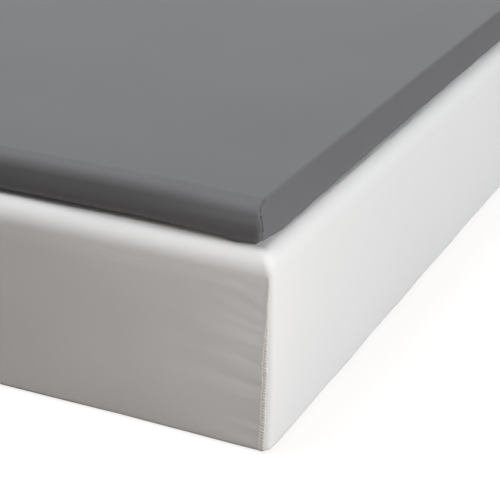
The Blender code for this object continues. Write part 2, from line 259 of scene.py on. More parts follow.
def shell_grid(xs, ys, zs, lip=0.0):
    """The sides and the top of a box as one welded grid of quads, and a lip that wide under it."""
    index, points, quads = {}, [], []

    def vertex(i, j, k):
        key = (i, j, k)
        if key not in index:
            index[key] = len(points)
            points.append((xs[i], ys[j], zs[k]))
        return index[key]

    def quad(*keys):
        quads.append(tuple(vertex(*key) for key in keys))

    last_x, last_y, last_z = len(xs) - 1, len(ys) - 1, len(zs) - 1
    for k in range(last_z):
        for i in range(last_x):
            quad((i, 0, k), (i + 1, 0, k), (i + 1, 0, k + 1), (i, 0, k + 1))
            quad((i + 1, last_y, k), (i, last_y, k), (i, last_y, k + 1), (i + 1, last_y, k + 1))
        for j in range(last_y):
            quad((last_x, j, k), (last_x, j + 1, k), (last_x, j + 1, k + 1), (last_x, j, k + 1))
            quad((0, j + 1, k), (0, j, k), (0, j, k + 1), (0, j + 1, k + 1))
    for i in range(last_x):
        for j in range(last_y):
            quad((i, j, last_z), (i + 1, j, last_z), (i + 1, j + 1, last_z), (i, j + 1, last_z))
            x, y = (xs[i] + xs[i + 1]) / 2, (ys[j] + ys[j + 1]) / 2
            if min(x - xs[0], xs[-1] - x, y - ys[0], ys[-1] - y) < lip:
                quad((i, j + 1, 0), (i + 1, j + 1, 0), (i + 1, j, 0), (i, j, 0))
    return np.array(points), quads


def round_edges(points, axes, planes, radius):
    """Rounds the edges of a box where pairs of its planes meet, one plane across each of two axes.

    What lies in the box near an edge moves with it. radius is one number, or one for each point.
    """
    points = points.copy()
    centre = (points.max(0) + points.min(0)) / 2
    for plane_a in planes[0]:
        for plane_b in planes[1]:
            pair = list(zip(axes, (plane_a, plane_b)))
            first, second = (radius - np.abs(plane - points[:, axis]) for axis, plane in pair)
            near = (first > 0) & (second > 0)
            length = np.maximum(np.hypot(first, second), 1e-9)
            scale = np.where(near, np.maximum(first, second) / length, 1.0)
            for (axis, plane), part in zip(pair, (first, second)):
                outward = 1 if plane > centre[axis] else -1
                moved = plane - outward * (radius - part * scale)
                points[:, axis] = np.where(near, moved, points[:, axis])
    return points


def wrap_cushion(points, low, high, edge, hem, corner):
    """Bends the grid of a box into a cushion with round edges.

    edge is the radius of the top edge, hem that of the lower edge, and corner(top inset)
    the radius of the upright corners, which may grow over the top edge.
    """
    half = np.array([(high.x - low.x) / 2, (high.y - low.y) / 2])
    centre = np.array([(high.x + low.x) / 2, (high.y + low.y) / 2])
    flat = points[:, :2] - centre
    from_edge = half - np.abs(flat)
    z = points[:, 2].copy()
    inward = np.where(z > high.z - 1e-9, from_edge.min(1), 0.0)
    along = np.where(z > high.z - 1e-9, inward, z - high.z)

    turn = np.clip((along + edge) / (2 * edge), 0, 1) * math.pi / 2
    inset = np.where(along >= edge, inward, edge * (1 - np.cos(turn)))
    inset = np.where(along <= -edge, 0.0, inset)
    z = np.where(np.abs(along) < edge, high.z - edge + edge * np.sin(turn), z)
    over_edge = inset.copy()

    height = points[:, 2] - low.z
    turn_below = np.clip(1 - height / hem, 0, 1) * math.pi / 2
    inset += hem * (1 - np.cos(turn_below))
    z = np.where(height < hem, low.z + hem * (1 - np.sin(turn_below)), z)

    spread, corner_reach = 0.060, 0.150
    shift = (inset - inward)[:, None] * np.exp(-(from_edge - inward[:, None]) / spread)
    ring = half - (from_edge + shift)
    fade = 1 - smoothstep(edge, edge + corner_reach, inward)
    radius = np.maximum(corner(over_edge) * fade, 1e-5)[:, None]
    core = np.minimum(ring, (half - inset[:, None]) - radius)
    out = ring - core
    reach = np.linalg.norm(out, axis=1)[:, None]
    both = (out > 1e-9).all(1)[:, None]
    rounded = core + out * np.where(both, out.max(1)[:, None] / np.maximum(reach, 1e-9), 1.0)
    sign = np.where(flat < 0, -1.0, 1.0)
    return np.column_stack([centre + sign * rounded, z])


def displace(obj, amount):
    """Moves each vertex along its normal by the amount for it."""
    mesh = obj.data
    count = len(mesh.vertices)
    co, normal = np.empty(count * 3, np.float32), np.empty(count * 3, np.float32)
    mesh.vertices.foreach_get("co", co)
    mesh.vertex_normals.foreach_get("vector", normal)
    moved = co.reshape(-1, 3) + normal.reshape(-1, 3) * np.asarray(amount, np.float32)[:, None]
    mesh.vertices.foreach_set("co", moved.ravel())
    mesh.update()


def vertex_points(obj):
    co = np.empty(len(obj.data.vertices) * 3, np.float32)
    obj.data.vertices.foreach_get("co", co)
    return co.reshape(-1, 3).astype(float)


def without_window(grid, quads, window):
    """The points and quads, less those in the zip's opening in the head wall."""
    low, high = window
    quads = np.array(quads)
    middle = grid[quads].mean(1)
    inside = (middle[:, 1] > low.y) & (middle[:, 2] > low.z) & (middle[:, 2] < high.z)
    inside &= (middle[:, 0] > low.x) & (middle[:, 0] < high.x)
    kept, quads = np.unique(quads[~inside], return_inverse=True)
    return grid[kept], quads.reshape(-1, 4).tolist()


def keep_above(obj, floor):
    points = vertex_points(obj)
    points[:, 2] = np.maximum(points[:, 2], floor)
    obj.data.vertices.foreach_set("co", points.ravel())
    obj.data.update()


def give_thickness(obj, thickness, offset=-1):
    """The cloth's thickness: inwards at offset -1, and to both sides at 0."""
    modifier = obj.modifiers.new("cloth", "SOLIDIFY")
    modifier.thickness = thickness
    modifier.offset = offset


def bevel_edges(obj, width, angle):
    """Bevels the edges that bend by more than the angle in degrees."""
    bevel = obj.modifiers.new("soft_edges", "BEVEL")
    bevel.width = width
    bevel.segments = 2
    bevel.limit_method = "ANGLE"
    bevel.angle_limit = math.radians(angle)


def tube(path, radius, sides=6, across=None, depth=None):
    """Points and faces of a tube along path. across is its wide way, depth its other radius."""
    path = np.asarray(path, float)
    tangent = np.gradient(path, axis=0)
    tangent /= np.linalg.norm(tangent, axis=1)[:, None]
    if across is None:
        upright = abs(tangent[0][2]) >= 0.9
        across = np.cross(tangent, (1.0, 0.0, 0.0) if upright else (0.0, 0.0, 1.0))
    across = np.asarray(across, float) * np.ones_like(path)
    across -= (across * tangent).sum(1)[:, None] * tangent
    across /= np.linalg.norm(across, axis=1)[:, None]
    up = np.cross(tangent, across)
    radius = (np.asarray(radius, float) * np.ones(len(path)))[:, None]
    depth = radius if depth is None else depth
    points, faces = [], []
    for k in range(sides):
        angle = 2 * math.pi * k / sides
        points.append(path + across * radius * math.cos(angle) + up * depth * math.sin(angle))
    points = np.stack(points, axis=1).reshape(-1, 3)
    for row in range(len(path) - 1):
        for k in range(sides):
            n = (k + 1) % sides
            a, b = row * sides, (row + 1) * sides
            faces.append((a + k, a + n, b + n, b + k))
    faces.append(tuple(reversed(range(sides))))
    faces.append(tuple(range((len(path) - 1) * sides, len(path) * sides)))
    return points, faces


class Surface:
    """The outer face of a finished cover, for laying threads on."""

    def __init__(self, obj):
        mesh = obj.data
        self.tree = BVHTree.FromPolygons(
            [v.co for v in mesh.vertices], [list(p.vertices) for p in mesh.polygons]
        )

    def lay(self, path, lift):
        """The path moved to the nearest places on the cover and raised by lift."""
        lift = np.asarray(lift, float) * np.ones(len(path))
        laid = []
        for point, height in zip(path, lift):
            place, normal = self.tree.find_nearest(Vector(point))[:2]
            laid.append(place + normal * height)
        return np.array(laid)


def joined(shapes):
    """Points and faces of several shapes as one."""
    points, faces, start = [], [], 0
    for shape_points, shape_faces in shapes:
        points.append(np.asarray(shape_points, float))
        faces.extend(tuple(start + i for i in face) for face in shape_faces)
        start += len(shape_points)
    return np.concatenate(points), faces


# Materials


class Material:
    """A Principled material with a few procedural textures in the CAD frame's coordinates."""

    def __init__(self, name, colour, roughness, **sockets):
        self.mat = bpy.data.materials.new(name)
        self.mat.use_nodes = True
        self.tree = self.mat.node_tree
        self.shader = self.tree.nodes["Principled BSDF"]
        self.colour = (*colour, 1.0)
        self.shader.inputs["Base Color"].default_value = self.colour
        self.shader.inputs["Roughness"].default_value = roughness
        for socket, value in sockets.items():
            self.shader.inputs[socket.replace("_", " ")].default_value = value
        self.coordinates = self.node("ShaderNodeTexCoord").outputs["Object"]
        self.normal = None

    def node(self, kind, settings=(), **values):
        node = self.tree.nodes.new(kind)
        for key, value in dict(settings).items():
            setattr(node, key, value)
        for socket, value in values.items():
            target = node.inputs[socket.replace("_", " ")]
            if isinstance(value, bpy.types.NodeSocket):
                self.tree.links.new(value, target)
            else:
                target.default_value = value
        return node

    def link(self, source, target):
        self.tree.links.new(source, target)

    def stretched(self, scale):
        mapping = self.node("ShaderNodeMapping", Vector=self.coordinates)
        mapping.inputs["Scale"].default_value = scale
        return mapping.outputs["Vector"]

    def noise(self, scale, detail, roughness=0.5, vector=None):
        values = {"Scale": scale, "Detail": detail, "Roughness": roughness}
        vector = vector or self.coordinates
        return self.node("ShaderNodeTexNoise", Vector=vector, **values).outputs["Fac"]

    def bands(self, pitch, axis):
        settings = {"wave_type": "BANDS", "bands_direction": axis, "wave_profile": "SIN"}
        scale = 2 * math.pi / (20 * pitch)
        node = self.node("ShaderNodeTexWave", settings, Vector=self.coordinates, Scale=scale)
        return node.outputs["Fac"]

    def added(self, a, b):
        node = self.node("ShaderNodeMath", {"operation": "ADD"})
        for socket, value in zip(node.inputs, (a, b)):
            self.link(value, socket)
        return node.outputs[0]

    def weave(self, pitch):
        """Threads along all three axes: on each face of the object two of them cross."""
        threads = [self.bands(pitch, axis) for axis in "XYZ"]
        return self.added(self.added(threads[0], threads[1]), threads[2])

    def bump(self, height, distance, strength):
        node = self.node("ShaderNodeBump", Height=height, Distance=distance, Strength=strength)
        if self.normal is not None:
            self.link(self.normal, node.inputs["Normal"])
        self.normal = node.outputs["Normal"]
        self.link(self.normal, self.shader.inputs["Normal"])

    def vary_colour(self, factor, low, high, narrow=(0.3, 0.7)):
        """Colour runs from low to high times the base colour as the factor rises."""
        ramp = self.node("ShaderNodeValToRGB", Fac=factor)
        for stop, place, share in zip(ramp.color_ramp.elements, narrow, (low, high)):
            stop.position = place
            if not hasattr(share, "__len__"):
                share = (share,) * 3
            stop.color = (*(c * s for c, s in zip(self.colour, share)), 1.0)
        self.link(ramp.outputs["Color"], self.shader.inputs["Base Color"])

    def vary_roughness(self, factor, low, high):
        node = self.node("ShaderNodeMapRange", Value=factor, To_Min=low, To_Max=high)
        self.link(node.outputs["Result"], self.shader.inputs["Roughness"])


def woven_cover():
    colour = (0.80, 0.795, 0.785)
    m = Material("white_woven_cover", colour, 0.82, Sheen_Weight=0.08, Sheen_Roughness=0.6)
    m.shader.inputs["Specular IOR Level"].default_value = 0.25
    m.vary_colour(m.noise(3.5, 3.0), (0.985, 0.98, 0.975), 1.0)
    m.bump(m.noise(9.0, 2.0), 0.0012, 0.35)
    m.bump(m.noise(60.0, 3.0, vector=m.stretched((1.0, 1.0, 2.2))), 0.0003, 0.25)
    m.bump(m.weave(0.00055), 0.00006, 0.6)
    return m.mat


def coated_cover():
    colour = (0.130, 0.130, 0.134)
    m = Material("grey_coated_cover", colour, 0.60, Sheen_Weight=0.08, Sheen_Roughness=0.45)
    m.shader.inputs["Specular IOR Level"].default_value = 0.28
    m.vary_colour(m.noise(2.2, 3.0), 0.96, 1.03)
    m.vary_roughness(m.noise(5.0, 2.0), 0.56, 0.66)
    m.bump(m.noise(6.0, 2.0), 0.0015, 0.25)
    m.bump(m.noise(900.0, 2.0), 0.00008, 0.5)
    m.bump(m.weave(0.0008), 0.00005, 0.4)
    return m.mat


def seam_tape():
    m = Material("seam_allowance", (0.80, 0.785, 0.74), 0.85, Sheen_Weight=0.1)
    m.vary_colour(m.noise(220.0, 2.0), 0.90, 1.0)
    m.bump(m.bands(0.0007, "Z"), 0.00012, 0.8)
    return m.mat


def cotton_thread(name, colour):
    m = Material(name, colour, 0.70, Sheen_Weight=0.2)
    m.vary_colour(m.noise(700.0, 2.0), 0.85, 1.0)
    m.bump(m.noise(2500.0, 2.0), 0.00004, 0.8)
    return m.mat


def anti_slip_cloth():
    m = Material("anti_slip_cloth", (0.070, 0.070, 0.074), 0.80)
    m.vary_colour(m.noise(12.0, 3.0), 0.85, 1.1)
    m.bump(m.weave(0.0010), 0.0001, 0.7)
    return m.mat


def zip_tape(name, colour):
    m = Material(name, colour, 0.78, Sheen_Weight=0.15)
    # The same bands that raise the ribs darken the colour between them: painted shade in the tape's
    # grooves
    m.vary_colour(m.bands(0.0012, "X"), 0.82, 1.0)
    m.bump(m.bands(0.0012, "X"), 0.00012, 0.8)
    m.bump(m.bands(0.0007, "Z"), 0.00008, 0.6)
    return m.mat


def moulded_teeth():
    m = Material("moulded_teeth", (0.30, 0.30, 0.31), 0.38)
    m.vary_roughness(m.noise(300.0, 2.0), 0.32, 0.46)
    m.bump(m.noise(1800.0, 2.0), 0.00003, 0.4)
    return m.mat


def plated_metal():
    m = Material("plated_metal", (0.66, 0.66, 0.67), 0.28, Metallic=1.0)
    m.vary_roughness(m.noise(250.0, 4.0, 0.7), 0.20, 0.40)
    m.bump(m.noise(900.0, 4.0, 0.7, m.stretched((1.0, 1.0, 6.0))), 0.00002, 0.5)
    return m.mat


def open_cell_foam(name, colour):
    m = Material(name, colour, 0.95)
    cells = m.node("ShaderNodeTexVoronoi", Vector=m.coordinates, Scale=1100.0).outputs["Distance"]
    # Colour darkens with the bump towards each cell's middle: painted shade in the foam's pores
    m.vary_colour(cells, 0.72, 1.04, (0.05, 0.55))
    m.bump(cells, 0.0004, 0.9)
    return m.mat


def barrier_cloth():
    m = Material("barrier_cloth", (0.75, 0.73, 0.68), 0.88)
    m.vary_colour(m.noise(300.0, 2.0), 0.90, 1.02)
    m.bump(m.weave(0.0016), 0.0002, 0.8)
    return m.mat


# Covers


def head_window(owner):
    """The opening that a cover's head wall has for its zip."""
    upper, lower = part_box(f"{owner}_zip_tape_upper"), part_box(f"{owner}_zip_tape_lower")
    gap, depth = 0.0003, 0.010
    low = Vector((lower[0].x - gap, upper[0].y - depth, lower[0].z - gap))
    high = Vector((upper[1].x + gap, upper[1].y + depth, upper[1].z + gap))
    return low, high


def near_window(points, window, reach):
    """1 at and near a cover's zip opening, 0 further than reach away from it."""
    low, high = window
    away_x = np.maximum(0, np.maximum(low.x - points[:, 0], points[:, 0] - high.x))
    away_z = np.maximum(0, np.maximum(low.z - points[:, 2], points[:, 2] - high.z))
    away_y = np.maximum(0, low.y - points[:, 1])
    away = np.sqrt(away_x**2 + away_y**2 + away_z**2)
    return 1 - smoothstep(0.0, reach, away)


def corner_distance(points, low, high):
    """Distance from the nearest upright corner, along an end face and along a side face."""
    from_side = np.minimum(points[:, 0] - low.x, high.x - points[:, 0])
    from_end = np.minimum(points[:, 1] - low.y, high.y - points[:, 1])
    return from_side, from_end


def build_base_cover(mat):
    low, high = BASE_LOW, BASE_HIGH
    window = head_window("base")
    ends = ((0.0096, 0.0012), (0.030, 0.0022), (0.090, 0.0040), (0.180, 0.0080), (1.0, 0.0160))
    xs = with_lines(graded_lines(low.x, high.x, ends), (window[0].x, window[1].x))
    ys = graded_lines(low.y, high.y, ends[:-1] + ((2.0, 0.0220),))
    rising = [low.z + BASE_HEM * s for s in (0, 0.5, 1.0)]
    rising += list(np.arange(low.z + STITCH_PITCH, high.z - BASE_EDGE - 0.001, STITCH_PITCH / 2))
    rising += list(np.linspace(high.z - BASE_EDGE, high.z, 10))
    zs = with_lines(rising, (window[0].z, window[1].z), 0.0006)
    grid, quads = shell_grid(xs, ys, zs)
    grid, quads = without_window(grid, quads, window)

    def corner(inset):
        return BASE_CORNER + BASE_CORNER_SOFTENING * inset

    shaped = wrap_cushion(grid, low, high, BASE_EDGE, BASE_HEM, corner)
    cover = mesh_object("base_cover", shaped, quads, mat)
    points = vertex_points(cover)
    share = (points[:, 2] - low.z) / (high.z - low.z)
    near_side, near_end = corner_distance(points, low, high)
    on_side = 1 - smoothstep(0.80, 0.92, share)

    is_side = smoothstep(0.0, 0.030, near_end) * (near_side < 0.020)
    bulge = BASE_END_BULGE + (BASE_SIDE_BULGE - BASE_END_BULGE) * is_side
    belly = bulge * on_side * (0.80 + 0.20 * np.sin(math.pi * share))
    slow = sum(waves(points, *wave) for wave in BASE_WAVES)
    on_top = smoothstep(high.z - 0.002, high.z, points[:, 2])
    wavelength, seed, sag = BASE_TOP_WAVE
    slow = slow * (1 - on_top) - sag * on_top * (1 + Undulation(wavelength, seed)(points))

    amount = belly + slow + seam_folds(grid, points, near_side, near_end) * on_side
    amount *= 1 - near_window(grid, window, ZIP_CALM)
    displace(cover, amount)
    keep_above(cover, low.z)
    give_thickness(cover, BASE_CLOTH)
    return cover


def seam_folds(grid, points, near_side, near_end):
    """Creases of the base cover's cloth at its upright seams.

    Gathers as fine as the stitches run a few millimetres from the seam, and a few long, shallow
    drag lines run from it over the end faces, most of them rising as they leave it.
    """
    z = points[:, 2]
    rows = np.round(grid[:, 2] / (STITCH_PITCH / 2)).astype(int)
    gather = np.where(rows % 2 == 0, 1.0, -1.0)
    mid = smoothstep(0.020, 0.060, z) * (1 - smoothstep(0.165, 0.195, z))
    reach_end = np.exp(-np.maximum(0, near_side - BASE_CORNER * 0.6) / 0.0055) * (near_end < 0.010)
    reach_side = np.exp(-near_end / 0.0030) * (near_side < 0.010)
    uneven = 0.65 + 0.5 * Undulation(0.030, 12)(points)
    total = GATHER_HEIGHT * gather * mid * uneven * (reach_end + 0.5 * reach_side)

    rng = np.random.default_rng(17)
    end_face = (near_end < 0.012) * smoothstep(0.004, 0.014, near_side)
    away = near_side - BASE_CORNER
    for corner_x in (-1, 1):
        for corner_y in (-1, 1):
            here = (np.sign(points[:, 0]) == corner_x) * (np.sign(points[:, 1]) == corner_y)
            for start in np.linspace(*DRAG_HEIGHTS, DRAG_LINES):
                at = start + rng.uniform(-0.005, 0.005)
                rise = DRAG_RISE * float(smoothstep(0.04, 0.16, at)) + rng.uniform(-0.03, 0.05)
                length = rng.uniform(*DRAG_LENGTH)
                wide = rng.uniform(*DRAG_WIDTH) * (1 + away / 0.08)
                size = rng.choice((-1.0, 0.8)) * rng.uniform(*DRAG_SIZE)
                line = z - at - rise * away + 0.0020 * np.sin(away / 0.017 + at * 90)
                fold = hump(line, size, 0.0, wide) * np.exp(-np.maximum(0, away) / length)
                total += fold * end_face * here
    return total


def build_overlay_cover(mat):
    top = OVERLAY_HIGH.z - OVERLAY_SETTLED
    low = Vector((OVERLAY_LOW.x + OVERLAY_PULL_IN, OVERLAY_LOW.y, OVERLAY_FLOOR))
    high = Vector((OVERLAY_HIGH.x - OVERLAY_PULL_IN, OVERLAY_HIGH.y, top))
    window = head_window("overlay")
    ends = ((0.012, 0.0010), (0.030, 0.0020), (0.080, 0.0040), (0.160, 0.0080), (1.0, 0.0160))
    xs = with_lines(graded_lines(low.x, high.x, ends), (window[0].x, window[1].x))
    ys = graded_lines(low.y, high.y, ends[:-1] + ((2.0, 0.0200),))
    zs = graded_lines(low.z, high.z, ((0.0036, 0.0009), (0.030, 0.0014)))
    zs = with_lines(zs, (window[0].z, window[1].z), 0.0005)
    grid, quads = shell_grid(xs, ys, zs, OVERLAY_LIP)
    grid, quads = without_window(grid, quads, window)
    shaped = round_overlay(grid, low, high)
    near_side, near_end = corner_distance(shaped, low, high)
    falls = ((near_end, *CROWN_AT_END), (near_side, *CROWN_AT_SIDE))
    crown = sum(fall * (1 - smoothstep(0.0, reach, near)) for near, fall, reach in falls)
    wavelength, seed, sag = CROWN_WAVE
    crown += sag * (1 + Undulation(wavelength, seed)(shaped * (1, 1, 0)))
    crown *= ((shaped[:, 2] - low.z) / (high.z - low.z)) ** 2
    shaped[:, 2] -= crown * (1 - near_window(grid, window, ZIP_CALM))
    shaped += overlay_settling(shaped, low, high)
    cover = mesh_object("overlay_cover", shaped, quads, mat)
    points = vertex_points(cover)
    height = points[:, 2] - low.z
    tall = high.z - low.z
    on_side = smoothstep(0.001, 0.014, height) * (1 - smoothstep(0.016, tall - 0.004, height))
    at_foot = (near_end < near_side) & (points[:, 1] < 0)
    belly = (OVERLAY_SIDE_BULGE + (OVERLAY_END_BULGE - OVERLAY_SIDE_BULGE) * at_foot) * on_side
    slow = waves(points, *OVERLAY_WAVE) + waves(points, *OVERLAY_SIDE_WAVE) * on_side
    amount = belly + slow + overlay_corner_marks(points, near_side, near_end, height)
    amount *= smoothstep(0.0, 0.0015, height) * (1 - near_window(grid, window, ZIP_CALM_OVERLAY))
    displace(cover, amount)
    give_thickness(cover, OVERLAY_CLOTH)
    return cover, seam_lines(grid, vertex_points(cover), low, high)


def seam_lines(grid, points, low, high):
    """Where the cover's four upright seams run: down each corner and out over the roll on top."""
    lines = {}
    for name, sign_x, sign_y in corner_frames():
        side, end = (high.x, high.y) if sign_x > 0 else (low.x, high.y)
        from_end = np.abs(grid[:, 1] - sign_y * end)
        upright = (from_end < 1e-6) & (grid[:, 2] > low.z + OVERLAY_SEAM_START)
        over = (np.abs(grid[:, 2] - high.z) < 1e-6) & (from_end < OVERLAY_ROLL)
        here = (np.abs(grid[:, 0] - side) < 1e-6) & (upright | over)
        order = np.argsort((grid[:, 2] + from_end)[here])
        lines[name] = points[here][order]
    return lines


def round_overlay(grid, low, high):
    """A flat slab whose ends are soft rolls, between long sides with crisp edges."""
    sides, ends, top, bottom = (low.x, high.x), (low.y, high.y), (high.z,), (low.z,)
    below = 1 - smoothstep(0.0, 0.018, grid[:, 2] - low.z)
    at_head = smoothstep(0.0, 0.1, grid[:, 1])
    corner = OVERLAY_UPRIGHT + (OVERLAY_TUCK_CORNER - OVERLAY_UPRIGHT) * below * (1 - 0.6 * at_head)
    points = round_edges(grid, (0, 1), (sides, ends), corner)
    points = round_edges(points, (0, 2), (sides, top), OVERLAY_CRISP_EDGE)
    points = round_edges(points, (1, 2), (ends, top), OVERLAY_ROLL)
    wave = Undulation(0.060, 31)(grid * (1, 1, 0))
    side_tuck = OVERLAY_SIDE_TUCK * (1.3 + 0.9 * np.clip(wave, -1, 1))
    points = round_edges(points, (0, 2), (sides, bottom), side_tuck)
    end_tuck = OVERLAY_TUCK * (1 + 0.12 * wave) * (1 - at_head) + OVERLAY_SIDE_TUCK * at_head
    return round_edges(points, (1, 2), (ends, bottom), end_tuck)


def overlay_settling(points, low, high):
    """The long sides lean out towards their lower edges, and at the foot the lower edge sinks."""
    near_side, near_end = corner_distance(points, low, high)
    height = points[:, 2] - low.z
    rim = 1 - smoothstep(0.0, 0.012, np.minimum(near_side, near_end))
    at_foot = 1 - smoothstep(-high.y, 0.0, points[:, 1])
    lean = OVERLAY_LEAN + OVERLAY_LEAN_AT_FOOT * at_foot**6
    lean *= 0.3 + 0.7 * smoothstep(0.0, 0.055, near_end)
    lean *= (1 - smoothstep(0.0, 0.012, near_side)) * (1 - height / (high.z - low.z))
    on_end = smoothstep(-0.004, 0.004, near_side - near_end)
    sink = hump(near_side, *SINK_ON_END) * on_end
    sink += hump(near_end, *SINK_ON_SIDE) * (1 - on_end)
    sink *= at_foot * rim * (1 - smoothstep(0.0, 0.030, height))
    return np.column_stack([np.sign(points[:, 0]) * lean, np.zeros(len(points)), -sink])


def overlay_corner_marks(points, near_side, near_end, height):
    """The groove at each upright seam, the doubled cloth beside it, and the corner's stand-out."""
    up = 0.25 + 0.75 * smoothstep(0.022, 0.036, height)
    groove = -hump(np.hypot(near_side, near_end), *SEAM_GROOVE) * up
    on_long_side = near_side < near_end
    band = DOUBLED_CLOTH * (1 - smoothstep(OVERLAY_SEAM_BAND - 0.0012, OVERLAY_SEAM_BAND, near_end))
    band = band * on_long_side * smoothstep(0.004, 0.010, height) * (height < 0.046)

    low_down = 1 - smoothstep(0.004, 0.020, height)
    below_top = 1 - smoothstep(0.020, 0.046, height)
    flare = FLARE * (1 - smoothstep(0.0, 0.16, near_side)) * below_top * ~on_long_side
    pouch = hump(near_side, *POUCH_ON_END) * ~on_long_side
    pouch += hump(near_end, *POUCH_ON_SIDE) * on_long_side
    drape = DRAPE * np.sin(near_side / 0.0042) * np.exp(-near_side / 0.020) * ~on_long_side
    foot_end = points[:, 1] < 0
    return groove + band + (flare + (pouch + drape) * low_down) * foot_end


# Seams of the base


def corner_frames():
    """The four upright corners of either layer: name, sign in x, sign in y."""
    ends = (("foot", -1), ("head", 1))
    sides = (("left", -1), ("right", 1))
    return [(f"{end}_{side}", sx, sy) for end, sy in ends for side, sx in sides]


def corner_path(sign_x, sign_y, from_corner, heights):
    """Points round an upright corner of the base cover, and the outward directions there.

    from_corner is measured along the cloth from the middle of the corner towards the end face.
    """
    x, y = BASE_HIGH.x + BASE_END_BULGE, BASE_HIGH.y + BASE_END_BULGE
    bend = BASE_CORNER * math.pi / 4
    turn = np.clip(math.pi / 4 - from_corner / BASE_CORNER, 0, math.pi / 2)
    beyond = np.maximum(0, from_corner - bend)
    out = np.column_stack([np.sin(turn), np.cos(turn)])
    flat = np.array([x, y]) - BASE_CORNER + out * BASE_CORNER
    flat[:, 0] -= beyond
    signs = np.array([sign_x, sign_y])
    level = np.zeros(len(heights))
    return np.column_stack([flat * signs, heights]), np.column_stack([out * signs, level])


def build_base_seam(name, sign_x, sign_y, surface, tape, thread):
    bottom, top = BASE_LOW.z + 0.0008, BASE_HIGH.z - BASE_EDGE + 0.002
    heights = np.linspace(bottom, top, 130)
    share = (heights - bottom) / (top - bottom)
    opened = 1 - smoothstep(0.45, 0.85, share)
    width = SEAM_WIDTH_AT_TOP + (SEAM_WIDTH - SEAM_WIDTH_AT_TOP) * opened
    ripple = 1 + 0.05 * np.sin(2 * math.pi * heights / STITCH_PITCH)
    sway = 0.0003 * np.sin(heights / 0.021 + sign_x) + 0.0002 * np.sin(heights / 0.0083)
    middle = 0.0016 + width / 2 + sway
    path, out = corner_path(sign_x, sign_y, middle, heights)
    path = surface.lay(path, 0.0002)
    across = np.column_stack([-out[:, 1], out[:, 0], np.zeros(len(out))]) * sign_x * sign_y
    half = width / 2 * ripple
    band = tube(path, half, sides=12, across=across, depth=SEAM_THICKNESS / 2)
    ribbon = mesh_object(f"base_seam_{name}_allowance", *band, tape)
    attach(ribbon, "base")
    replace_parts(ribbon, f"base_seam_{name}")

    stitches = mesh_object(f"base_seam_{name}_stitches", *overlock(path, out, across, half), thread)
    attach(stitches, "base")


def overlock(path, out, across, half):
    """Whip stitches over the edge of a seam allowance, and the needle thread along it."""
    length = running_length(path)
    shapes = []
    rng = np.random.default_rng(7)
    lift = SEAM_THICKNESS / 2 + THREAD * 0.3
    for place in np.arange(STITCH_PITCH, length[-1] - STITCH_PITCH, STITCH_PITCH):
        place = place + rng.uniform(-0.12, 0.12) * STITCH_PITCH
        at, outward, side = (at_length(place, length, values) for values in (path, out, across))
        reach = np.interp(place, length, half) + THREAD + 0.0008
        steps = np.linspace(-1, 1, 7)
        arch = lift * np.sqrt(np.maximum(0.0, 1.04 - steps**2))
        line = at + np.outer(steps * reach, side) + np.outer(arch, outward)
        line[:, 2] += STITCH_PITCH * 0.42 * steps * rng.uniform(0.7, 1.2)
        shapes.append(tube(line, THREAD, sides=6))
    needle = path + across * (half * 0.92)[:, None] + out * lift * 0.8
    shapes.append(tube(needle, THREAD * 1.3, sides=6))
    return joined(shapes)


# Seams of the overlay


def build_overlay_seam(name, sign_y, line, surface, thread):
    """A fine cord in the groove of one upright corner of the grey cover, and its topstitching."""
    length = running_length(line)
    even = np.linspace(0, length[-1], 80)
    beads = THREAD * (0.85 + 0.25 * np.abs(np.sin(math.pi * even / STITCH_PITCH)))
    # The cord's dark thread is partly painted shade that darkens the crease along the corner seam
    shapes = [tube(surface.lay(at_length(even, length, line), THREAD * 0.2), beads, sides=8)]

    steps = np.linspace(0, STITCH_PITCH * 0.70, 5)
    bow = np.sin(np.linspace(0, math.pi, 5)) * THREAD * 1.2
    back = np.array([0.0, -sign_y * (OVERLAY_SEAM_BAND - 0.0022), 0.0])
    for start in np.arange(0.001, length[-1] - OVERLAY_ROLL * 1.6, STITCH_PITCH):
        stitch = surface.lay(at_length(start + steps, length, line) + back, bow - THREAD * 0.4)
        shapes.append(tube(stitch, THREAD * 0.9, sides=5))
    seam = mesh_object(f"overlay_seam_{name}", *joined(shapes), thread)
    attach(seam, "overlay")


# Undersides


def rounded_plate(half_x, half_y, radius, low, high, roll):
    """A thin sheet with round corners and a rolled rim."""
    bm = bmesh.new()
    rings = []
    levels = ((low, roll), (low + roll * 0.4, roll * 0.2), (high - roll * 0.4, 0), (high, roll))
    for z, inset in levels:
        ring = []
        for quarter in range(4):
            sign_x, sign_y = ((1, 1), (-1, 1), (-1, -1), (1, -1))[quarter]
            for step in range(9):
                angle = math.pi / 2 * (quarter + step / 8)
                x = sign_x * (half_x - radius) + (radius - inset) * math.cos(angle)
                y = sign_y * (half_y - radius) + (radius - inset) * math.sin(angle)
                ring.append(bm.verts.new((x, y, z)))
        rings.append(ring)
    count = len(rings[0])
    for below, above in zip(rings, rings[1:]):
        for k in range(count):
            bm.faces.new((below[k], below[(k + 1) % count], above[(k + 1) % count], above[k]))
    bm.faces.new(rings[-1])
    bm.faces.new(list(reversed(rings[0])))
    return bm


def build_underside(name, node, body, inset, radius, mat):
    low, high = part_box(node)
    roll = 0.0006
    bm = rounded_plate(high.x - inset, high.y - inset, radius, low.z, high.z, roll)
    mesh = bpy.data.meshes.new(name)
    bm.to_mesh(mesh)
    bm.free()
    mesh.materials.append(mat)
    panel = link(bpy.data.objects.new(name, mesh))
    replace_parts(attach(panel, body), node)


